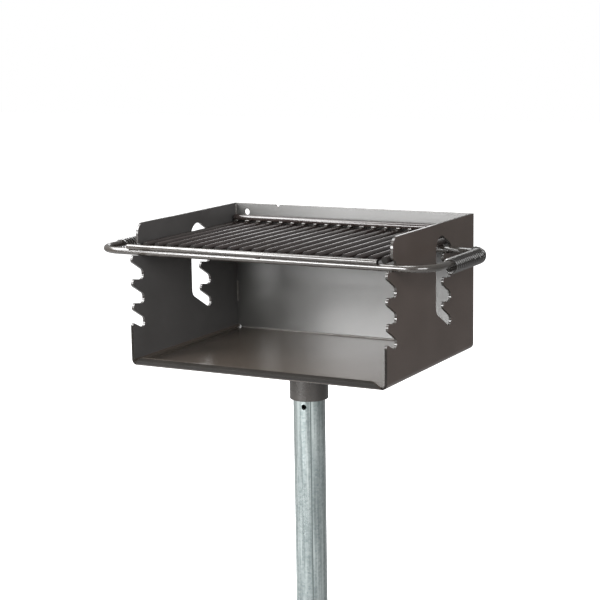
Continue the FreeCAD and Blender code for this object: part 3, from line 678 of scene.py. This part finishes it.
def makeGrip(name, node, side):  # side is -1 on the left and 1 on the right
    wireRadius = coilGrip["wire"] / 2
    bpy.ops.mesh.primitive_circle_add(vertices=coilGrip["wireSides"], radius=wireRadius,
                                      location=(0, coilGrip["outside"] / 2 - wireRadius, 0))
    grip = newest(name)
    applyPlace(grip)
    modify(grip, "SCREW", axis="X", angle=2 * math.pi, iterations=coilGrip["turns"],
           screw_offset=coilGrip["length"] / coilGrip["turns"], steps=coilGrip["turnSteps"],
           render_steps=coilGrip["turnSteps"], use_normal_calculate=True)
    selectWhere(grip, "VERT", lambda point: True)
    bpy.ops.mesh.fill_holes(sides=0)
    bpy.ops.mesh.select_all(action="SELECT")
    bpy.ops.mesh.normals_make_consistent(inside=False)
    bpy.ops.object.mode_set(mode="OBJECT")
    rail = makeGripPath(name + "Path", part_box(node)[0].y + wireRadius, side)
    modify(grip, "CURVE", object=rail, deform_axis="POS_X")
    bpy.data.objects.remove(rail)
    smooth(grip, coilGrip["smooth"])
    paintWith(grip, springPaint)
    finishPiece(grip, "grate", "spring_wire", node)


makeGrip("coilGripLeft", "coil_grip_left", -1)
makeGrip("coilGripRight", "coil_grip_right", 1)
print("grips made")


# Studio: pale floor, white surroundings, soft lights, and the photograph's camera.

floorLook = {
    "size": 30.0, "colour": (0.93, 0.93, 0.93), "glow": 1.0, "bounce": (0.35, 0.35, 0.35),
    "rough": 0.9,
}
worldLook = {"seen": 1.0, "sky": 0.33}


def makeFloor():
    bpy.ops.mesh.primitive_plane_add(size=floorLook["size"], location=(0, 0, 0))
    floor = newest("studioFloor")
    material, tree, shader, place = startMaterial("studioFloor")
    path = tree.nodes.new("ShaderNodeLightPath")
    seen = path.outputs["Is Camera Ray"]
    tree.links.new(blendColours(tree, seen, floorLook["bounce"], floorLook["colour"]),
                   shader.inputs["Base Color"])
    tree.links.new(spread(tree, seen, 0.0, floorLook["glow"], 0.0, 1.0),
                   shader.inputs["Emission Strength"])
    shader.inputs["Emission Color"].default_value = (1, 1, 1, 1)
    shader.inputs["Roughness"].default_value = floorLook["rough"]
    shader.inputs["Specular IOR Level"].default_value = 0.0
    floor.data.materials.append(material)


def makeWorld():
    world = bpy.data.worlds.new("studioWorld")
    bpy.context.scene.world = world
    world.use_nodes = True
    tree = world.node_tree
    background = tree.nodes["Background"]
    path = tree.nodes.new("ShaderNodeLightPath")
    strength = spread(tree, path.outputs["Is Camera Ray"], worldLook["sky"], worldLook["seen"],
                      0.0, 1.0)
    tree.links.new(strength, background.inputs["Strength"])
    background.inputs["Color"].default_value = (1, 1, 1, 1)


def addSoftbox(name, place, target, size, glow):
    light = bpy.data.lights.new(name, "AREA")
    light.shape = "RECTANGLE"
    light.size, light.size_y = size
    light.energy = glow * size[0] * size[1] * math.pi
    lamp = bpy.data.objects.new(name, light)
    lamp.location = place
    lamp.rotation_euler = (Vector(target) - Vector(place)).to_track_quat("-Z", "Y").to_euler()
    lamp.visible_camera = False
    bpy.context.collection.objects.link(lamp)


softboxes = {  # glow is each box's brightness, where white paper is about 1
    "frontLow": {"place": (-0.95, -2.5, 1.15), "target": (0.0, 0.18, 0.74),
                 "size": (1.6, 1.0), "glow": 20.0},
    "key": {"place": (-1.5, -1.2, 2.3), "target": (0.0, 0.0, 0.8),
            "size": (1.4, 1.1), "glow": 18.0},
    "fill": {"place": (2.3, -1.9, 1.6), "target": (0.0, 0.0, 0.8),
             "size": (1.6, 1.4), "glow": 9.0},
    "top": {"place": (-1.0, -0.1, 2.75), "target": (0.0, -0.2, 0.82),
            "size": (1.2, 2.4), "glow": 8.0},
    "backHigh": {"place": (-1.4, 2.6, 1.55), "target": (0.0, 0.0, 0.8),
                 "size": (1.0, 0.6), "glow": 2.4},
}
cameraView = {  # solved from the firebox's corners
    "place": (1.4006, -2.64488, 1.2386), "yaw": 28.18, "pitch": 9.91, "roll": 0.89,
    "lens": 97.72, "sensor": 36.0,
}


def makeCamera():
    yaw, pitch, roll = (math.radians(cameraView[key]) for key in ("yaw", "pitch", "roll"))
    ahead = Vector((-math.sin(yaw) * math.cos(pitch), math.cos(yaw) * math.cos(pitch),
                    -math.sin(pitch)))
    right = Vector((math.cos(yaw), math.sin(yaw), 0))
    down = ahead.cross(right)
    tilted = right * math.cos(roll) + down * math.sin(roll)
    fall = down * math.cos(roll) - right * math.sin(roll)
    data = bpy.data.cameras.new("photoCamera")
    data.lens = cameraView["lens"]
    data.sensor_width = cameraView["sensor"]
    camera = bpy.data.objects.new("photoCamera", data)
    bpy.context.collection.objects.link(camera)
    turn = Matrix((tilted, -fall, -ahead)).transposed().to_4x4()
    camera.matrix_world = Matrix.Translation(cameraView["place"]) @ turn
    bpy.context.scene.camera = camera


makeFloor()
makeWorld()
for name, box in softboxes.items():
    addSoftbox(name, **box)
makeCamera()
bpy.context.scene.view_settings.view_transform = "Standard"
print("studio made")
